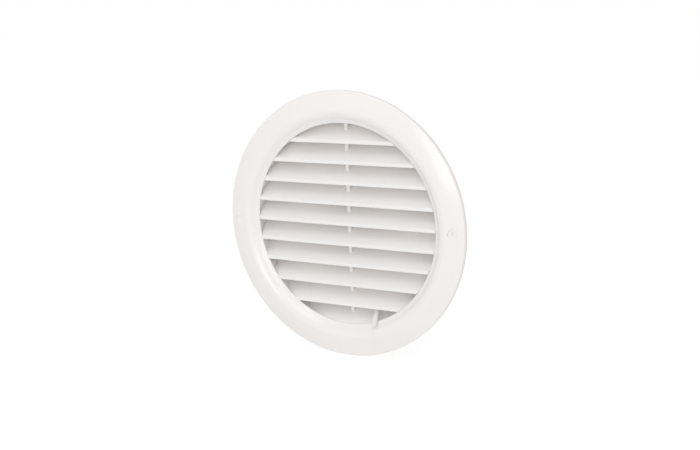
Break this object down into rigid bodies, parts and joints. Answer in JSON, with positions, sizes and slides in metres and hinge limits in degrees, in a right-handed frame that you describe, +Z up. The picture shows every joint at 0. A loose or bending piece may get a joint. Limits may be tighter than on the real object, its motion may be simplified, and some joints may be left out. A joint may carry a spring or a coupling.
{
  "type": "round vent cover",
  "caption": "Round louvred vent cover with a rounded bezel, a collar for the duct and a rotary shutter worked by a small lever under the louvres.",
  "frame": {"origin": "centre of the flange's back face, on the axis of the collar and in the plane of the wall", "axes": "+Y along the collar into the duct, so the louvres face -Y; +X to the right and +Z up, seen from the room"},
  "size_m": [0.13, 0.0338, 0.13],
  "materials": {
    "white_plastic": "moulded white plastic with a soft gloss",
    "shutter_plastic": "moulded white plastic, satin",
    "zinc_steel": "zinc-plated steel"
  },
  "bodies": {
    "housing": {"bezel": "white_plastic", "collar": "white_plastic", "louvres": "white_plastic", "seat_plate": "shutter_plastic", "pivot_screw": "zinc_steel"},
    "shutter": {"shutter_disc": "shutter_plastic"}
  },
  "joints": [
    {"name": "shutter_turn", "type": "hinge", "parent": "housing", "child": "shutter", "pos_m": [0, 0.01106, 0], "axis": [0, 1, 0], "range_deg": [0, 15]}
  ]
}
